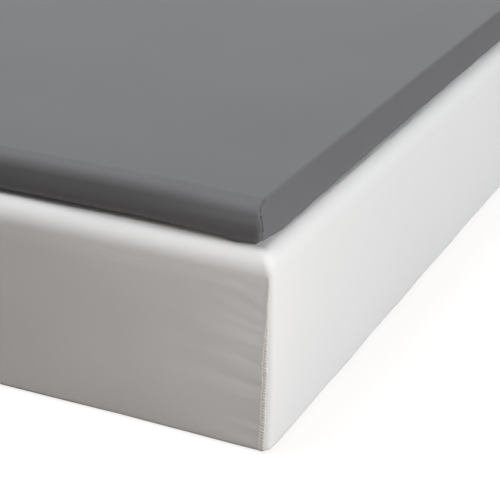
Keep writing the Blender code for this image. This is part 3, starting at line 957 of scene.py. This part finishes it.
def build_flat_cloth(node, body, mat, steps, wave):
    """A thin woven piece in the place of a CAD one, not quite flat, whose thin way is y or z."""
    low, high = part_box(node)
    thin = 1 if high.y - low.y < high.z - low.z else 2
    other = 3 - thin
    xs = np.linspace(low.x, high.x, steps[0] + 1)
    others = np.linspace(low[other], high[other], steps[1] + 1)
    grid = np.zeros(((steps[0] + 1) * (steps[1] + 1), 3))
    grid[:, 0] = np.repeat(xs, steps[1] + 1)
    grid[:, other] = np.tile(others, steps[0] + 1)
    grid[:, thin] = (low[thin] + high[thin]) / 2 + waves(grid, *wave)
    row = steps[1] + 1
    quads = []
    for i in range(steps[0]):
        for j in range(steps[1]):
            a = i * row + j
            quads.append((a, a + row, a + row + 1, a + 1))
    cloth = mesh_object(f"{node}_cloth", grid, quads, mat)
    give_thickness(cloth, high[thin] - low[thin], offset=0)
    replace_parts(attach(cloth, body), node)
    return cloth


# Zips


def build_teeth(body, mat):
    """Moulded teeth, each a small waisted block, in two rows with half a pitch between them."""
    for row, shift in (("upper", 0.0), ("lower", 0.5)):
        node = f"{body}_zip_teeth_{row}"
        low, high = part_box(node)
        tip_up = row == "lower"
        count = int((high.x - low.x) / TOOTH_PITCH) - 1
        shapes = []
        for k in range(count):
            x = low.x + TOOTH_PITCH * (k + 0.5 + shift)
            shapes.append(tooth(x, low, high, tip_up))
        teeth = mesh_object(node + "_row", *joined(shapes), mat, smooth=False)
        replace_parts(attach(teeth, body), node)


def tooth(x, low, high, tip_up):
    """One tooth: a wide root on the tape, a narrow waist and a wider head at the tip."""
    root, tip = (low.z, high.z) if tip_up else (high.z, low.z)
    levels = (0.0, 0.30, 0.62, 0.86, 1.0)
    widths = (0.95, 0.80, 0.62, 0.98, 0.70)
    depth_mid, depth_half = (low.y + high.y) / 2, (high.y - low.y) / 2
    points, faces = [], []
    for level, width in zip(levels, widths):
        z = root + (tip - root) * level
        half_x = TOOTH_LENGTH / 2 * width
        half_y = depth_half * (1.0 if level < 0.9 else 0.75)
        for sx, sy in ((-1, -1), (1, -1), (1, 1), (-1, 1)):
            points.append((x + sx * half_x, depth_mid + sy * half_y, z))
    for row in range(len(levels) - 1):
        for k in range(4):
            a, b = row * 4, (row + 1) * 4
            quad = (a + k, a + (k + 1) % 4, b + (k + 1) % 4, b + k)
            faces.append(quad if tip_up else tuple(reversed(quad)))
    bottom, top = (3, 2, 1, 0), tuple(range(len(points) - 4, len(points)))
    faces.append(bottom if tip_up else tuple(reversed(bottom)))
    faces.append(top if tip_up else tuple(reversed(top)))
    return points, faces


def build_zip_stitches(owner, surface, thread):
    """Two rows of stitches that hold the zip's tapes in the cover."""
    low, high = head_window(owner)
    shapes = []
    margin = ZIP_STITCH_MARGIN[owner]
    steps = np.linspace(0, 1, 5)
    level = np.ones(len(steps))
    bow = np.sin(math.pi * steps) * THREAD * 1.1
    for z in (low.z - margin, high.z + margin):
        for x in np.arange(low.x, high.x, STITCH_PITCH):
            run = x + steps * STITCH_PITCH * 0.72
            line = np.column_stack([run, level * high.y, level * z])
            shapes.append(tube(surface.lay(line, bow - THREAD * 0.5), THREAD, sides=5))
    stitches = mesh_object(f"{owner}_zip_stitches", *joined(shapes), thread)
    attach(stitches, owner)


def soften_metal(node, width, mat):
    """A carried-over hard CAD piece: its facets are welded and its edges broken."""
    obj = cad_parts[node]
    weld = obj.modifiers.new("weld", "WELD")
    weld.merge_threshold = 0.00001
    bevel_edges(obj, width, 40)
    assign(obj, mat)


def assign(obj, mat):
    obj.data.materials.clear()
    obj.data.materials.append(mat)


# Inside


def build_foam(node, body, mat, shrink):
    """The foam block of a CAD node, with the soft edges that cut foam has.

    Its faces next to the cover are drawn in by shrink, and the others only by a hair.
    """
    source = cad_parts[node]
    low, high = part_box(node)
    if body == "base":
        cover_low, cover_high = BASE_LOW, BASE_HIGH
    else:
        cover_low, cover_high = Vector((*OVERLAY_LOW.xy, OVERLAY_FLOOR)), OVERLAY_HIGH
    start, end = low.copy(), high.copy()
    for axis in range(3):
        start[axis] += shrink if low[axis] - cover_low[axis] < FOAM_BY_COVER else FOAM_GAP
        end[axis] -= shrink if cover_high[axis] - high[axis] < FOAM_BY_COVER else FOAM_GAP
    mesh = source.data.copy()
    mesh.name = node + "_block"
    scale = Matrix.Diagonal([(end[i] - start[i]) / (high[i] - low[i]) for i in range(3)]).to_4x4()
    mesh.transform(Matrix.Translation(start) @ scale @ Matrix.Translation(-low))
    bm = bmesh.new()
    bm.from_mesh(mesh)
    bmesh.ops.remove_doubles(bm, verts=bm.verts, dist=0.00001)
    bm.to_mesh(mesh)
    bm.free()
    block = link(bpy.data.objects.new(node + "_block", mesh))
    assign(block, mat)
    bevel_edges(block, FOAM_EDGE, 50)
    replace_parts(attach(block, body), node)


# Stage


def split_by_ray(tree, others, camera, output):
    """The camera's rays meet one shader and all other rays another."""
    path = tree.nodes.new("ShaderNodeLightPath")
    choose = tree.nodes.new("ShaderNodeMixShader")
    tree.links.new(path.outputs["Is Camera Ray"], choose.inputs[0])
    tree.links.new(others.outputs[0], choose.inputs[1])
    tree.links.new(camera.outputs[0], choose.inputs[2])
    tree.links.new(choose.outputs[0], output.inputs["Surface"])


def build_floor():
    """A floor that looks almost white and gives the object little light from below."""
    mat = bpy.data.materials.new("studio_floor")
    mat.use_nodes = True
    tree = mat.node_tree
    tree.nodes.clear()
    output = tree.nodes.new("ShaderNodeOutputMaterial")
    shown = tree.nodes.new("ShaderNodeEmission")
    shown.inputs["Strength"].default_value = FLOOR_SHOWN
    diffuse = tree.nodes.new("ShaderNodeBsdfDiffuse")
    diffuse.inputs["Color"].default_value = FLOOR_COLOUR
    both = tree.nodes.new("ShaderNodeAddShader")
    tree.links.new(shown.outputs[0], both.inputs[0])
    tree.links.new(diffuse.outputs[0], both.inputs[1])
    split_by_ray(tree, diffuse, both, output)
    signs = ((-1, -1), (1, -1), (1, 1), (-1, 1))
    corners = [(x * FLOOR_REACH, y * FLOOR_REACH, 0) for x, y in signs]
    floor = mesh_object("floor", corners, [(0, 1, 2, 3)], mat)
    floor.location.z = -FLOOR_DROP


def build_world():
    world = bpy.data.worlds.new("studio")
    bpy.context.scene.world = world
    world.use_nodes = True
    tree = world.node_tree
    tree.nodes.clear()
    output = tree.nodes.new("ShaderNodeOutputWorld")
    ambient = tree.nodes.new("ShaderNodeBackground")
    ambient.inputs["Color"].default_value = AMBIENT_COLOUR
    ambient.inputs["Strength"].default_value = AMBIENT
    backdrop = tree.nodes.new("ShaderNodeBackground")
    backdrop.inputs["Strength"].default_value = BACKDROP
    split_by_ray(tree, ambient, backdrop, output)


def area_light(name, aim, size, power, colour):
    place, target = aim
    light = bpy.data.lights.new(name, "AREA")
    light.shape = "RECTANGLE"
    light.size, light.size_y = size
    light.energy = power
    light.color = colour
    obj = link(bpy.data.objects.new(name, light))
    obj.location = place
    obj.rotation_mode = "QUATERNION"
    obj.rotation_quaternion = (Vector(target) - Vector(place)).to_track_quat("-Z", "Y")


def sun_light(name, towards, angle, strength, colour):
    light = bpy.data.lights.new(name, "SUN")
    light.angle = math.radians(angle)
    light.energy = strength
    light.color = colour
    obj = link(bpy.data.objects.new(name, light))
    obj.rotation_mode = "QUATERNION"
    obj.rotation_quaternion = Vector(towards).to_track_quat("Z", "Y")


def build_lights():
    sun_light("key_right", KEY_TOWARDS, KEY_ANGLE, KEY, KEY_COLOUR)
    sun_light("overhead", OVERHEAD_TOWARDS, OVERHEAD_ANGLE, OVERHEAD, OVERHEAD_COLOUR)
    area_light("back_panel", BACK_PANEL_AIM, BACK_PANEL_SIZE, BACK_PANEL, BACK_PANEL_COLOUR)
    area_light("corner_fill", CORNER_FILL_AIM, CORNER_FILL_SIZE, CORNER_FILL, CORNER_FILL_COLOUR)


def build_camera():
    data = bpy.data.cameras.new("camera")
    data.lens = CAMERA_LENS
    data.sensor_width = 36
    camera = link(bpy.data.objects.new("camera", data))
    a, e, roll = CAMERA_AZIMUTH, CAMERA_ELEVATION, CAMERA_ROLL
    back = Vector((math.sin(a) * math.cos(e), -math.cos(a) * math.cos(e), math.sin(e)))
    right = Vector((math.cos(a), math.sin(a), 0))
    up = back.cross(right)
    right, up = (
        math.cos(roll) * right + math.sin(roll) * up,
        math.cos(roll) * up - math.sin(roll) * right,
    )
    nearest_corner = Vector((BASE_HIGH.x, BASE_LOW.y, 0))
    turn = Matrix((right, up, back)).transposed().to_4x4()
    camera.matrix_world = Matrix.Translation(nearest_corner + CAMERA_OFFSET) @ turn
    bpy.context.scene.camera = camera


def build_zips(surfaces, threads):
    metal, plastic = plated_metal(), moulded_teeth()
    tapes = {
        "base": zip_tape("white_tape", (0.72, 0.72, 0.71)),
        "overlay": zip_tape("grey_tape", (0.10, 0.10, 0.11)),
    }
    for owner in ("base", "overlay"):
        build_teeth(owner, plastic)
        build_zip_stitches(owner, surfaces[owner], threads[owner])
        for row in ("upper", "lower"):
            node = f"{owner}_zip_tape_{row}"
            build_flat_cloth(node, owner, tapes[owner], TAPE_STEPS, TAPE_WAVE)
        for part, width in ZIP_EDGES.items():
            soften_metal(f"{owner}_zip_{part}", width, metal)


def build_foams():
    firm = open_cell_foam("firm_foam", (0.70, 0.72, 0.66))
    support = open_cell_foam("support_foam", (0.36, 0.50, 0.62))
    comfort = open_cell_foam("comfort_foam", (0.80, 0.74, 0.56))
    visco = open_cell_foam("visco_foam", (0.82, 0.79, 0.68))
    heel = open_cell_foam("heel_foam", (0.62, 0.70, 0.74))
    foams = (
        ("base", firm, ("side_bolster_left", "side_bolster_right", "end_bolster_foot")),
        ("base", firm, ("end_bolster_head", "core_transition_foam")),
        ("base", support, ("core_support_foam",)),
        ("base", comfort, ("core_comfort_foam",)),
        ("overlay", visco, ("overlay_foam_head", "overlay_foam_torso")),
        ("overlay", heel, ("overlay_foam_heel",)),
    )
    for body, mat, nodes in foams:
        for node in nodes:
            build_foam(node, body, mat, FOAM_DRAWN_IN[body])


def build_barrier_sheet():
    node, mat = "fire_barrier_sheet", barrier_cloth()
    barrier = build_flat_cloth(node, "base", mat, BARRIER_STEPS, BARRIER_WAVE)


def build():
    white, grey = woven_cover(), coated_cover()
    tape, under = seam_tape(), anti_slip_cloth()
    threads = {
        "base": cotton_thread("cream_thread", (0.84, 0.82, 0.76)),
        # The overlay's thread is darker than the grey cover partly as painted shade: it draws the
        # dark crease along each upright corner seam
        "overlay": cotton_thread("dark_thread_and_crease_shade", (0.075, 0.075, 0.078)),
    }

    base = build_base_cover(white)
    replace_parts(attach(base, "base"), "base_cover_upper")
    overlay, overlay_seams = build_overlay_cover(grey)
    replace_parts(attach(overlay, "overlay"), "overlay_cover_top")

    surfaces = {"base": Surface(base), "overlay": Surface(overlay)}
    for name, sign_x, sign_y in corner_frames():
        build_base_seam(name, sign_x, sign_y, surfaces["base"], tape, threads["base"])
        line = overlay_seams[name]
        build_overlay_seam(name, sign_y, line, surfaces["overlay"], threads["overlay"])

    shape = (BASE_UNDERSIDE_INSET, BASE_UNDERSIDE_CORNER)
    build_underside("base_underside", "base_cover_lower", "base", *shape, under)
    shape = (OVERLAY_LIP, OVERLAY_UNDERSIDE_CORNER)
    build_underside("overlay_underside", "overlay_cover_base", "overlay", *shape, under)

    build_zips(surfaces, threads)
    build_foams()
    build_barrier_sheet()

    build_floor()
    build_world()
    build_lights()
    build_camera()
    bpy.context.scene.view_settings.view_transform = "Standard"


build()
